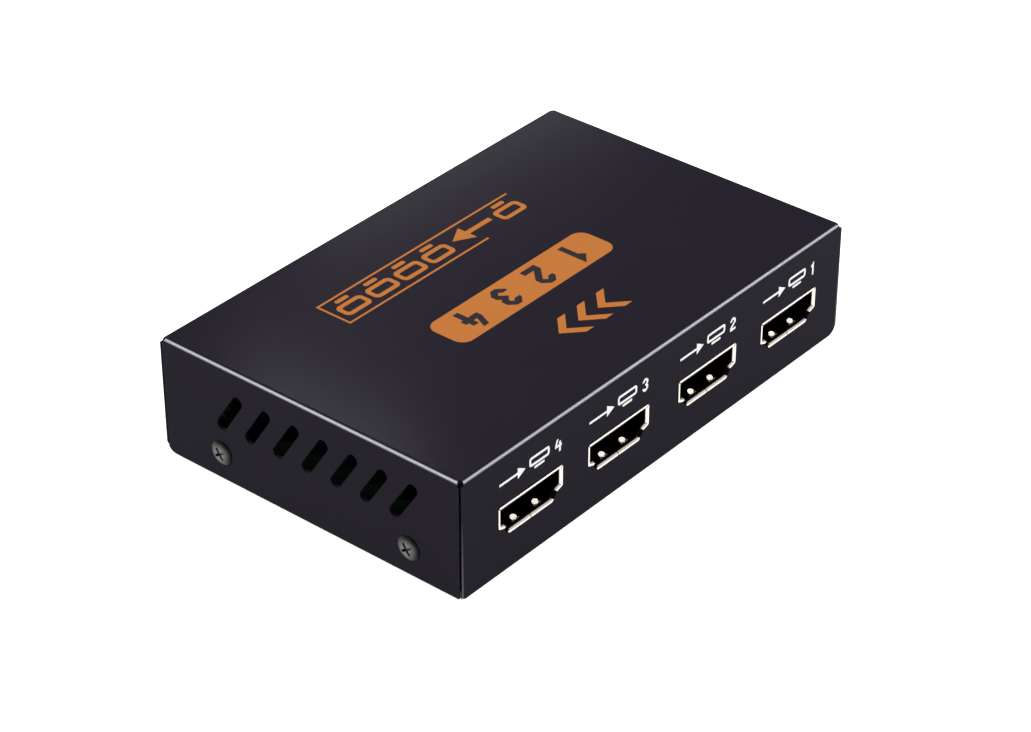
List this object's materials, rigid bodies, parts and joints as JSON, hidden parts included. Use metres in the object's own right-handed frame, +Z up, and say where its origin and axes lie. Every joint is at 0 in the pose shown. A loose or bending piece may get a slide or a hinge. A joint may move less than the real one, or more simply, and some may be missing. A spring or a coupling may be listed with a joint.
{
  "type": "hdmi splitter",
  "caption": "Small video signal splitter in a folded steel case with a row of output sockets, slotted sides, an input socket and a round power socket at the rear.",
  "frame": {"origin": "under the middle of the case, on the surface that the feet stand on", "axes": "+X along the case's long side, -Y out of the row of output sockets, +Y out of the rear panel, +Z up"},
  "size_m": [0.0982, 0.0622, 0.0224],
  "materials": {
    "painted_steel": "satin powder coat on sheet steel, blue black",
    "foot_rubber": "matt black rubber",
    "screw_steel": "dark nickel-plated steel",
    "nickel_brass": "nickel-plated brass",
    "board_laminate": "green solder mask on glass laminate",
    "black_moulding": "black glass-filled moulding",
    "shell_steel": "bright nickel-plated steel strip",
    "gold_contact": "thin gold plating",
    "lamp_lens": "clear tinted epoxy",
    "tinned_wire": "matt tin plating",
    "chip_resin": "matt black moulding resin",
    "pad_silicone": "soft grey silicone",
    "sink_aluminium": "black anodised aluminium",
    "crystal_can": "drawn metal lid",
    "ferrite": "sintered ferrite",
    "capacitor_can": "bare drawn aluminium",
    "ceramic": "fired ceramic"
  },
  "bodies": {
    "root": {"top_cover": "painted_steel", "base_plate": "painted_steel", "rubber_feet": "foot_rubber", "cover_screws": "screw_steel", "standoffs": "nickel_brass", "board_screws": "screw_steel", "circuit_board": "board_laminate", "power_jack_body": "black_moulding", "power_jack_pin": "nickel_brass", "power_jack_spring": "nickel_brass", "status_lamps": "lamp_lens", "lamp_leads": "tinned_wire", "lamp_holders": "black_moulding", "splitter_chip": "chip_resin", "thermal_pad": "pad_silicone", "heat_sink": "sink_aluminium", "control_chip": "chip_resin", "memory_chip": "chip_resin", "chip_leads": "tinned_wire", "crystal": "crystal_can", "voltage_regulator": "chip_resin", "power_inductor": "ferrite", "capacitor_bases": "black_moulding", "bulk_capacitors": "capacitor_can", "ceramic_capacitors": "ceramic", "surge_guards": "chip_resin", "line_resistors": "chip_resin", "output_1_shell": "shell_steel", "output_1_insulator": "black_moulding", "output_1_contacts": "gold_contact", "output_2_shell": "shell_steel", "output_2_insulator": "black_moulding", "output_2_contacts": "gold_contact", "output_3_shell": "shell_steel", "output_3_insulator": "black_moulding", "output_3_contacts": "gold_contact", "output_4_shell": "shell_steel", "output_4_insulator": "black_moulding", "output_4_contacts": "gold_contact", "input_shell": "shell_steel", "input_insulator": "black_moulding", "input_contacts": "gold_contact"}
  },
  "joints": []
}
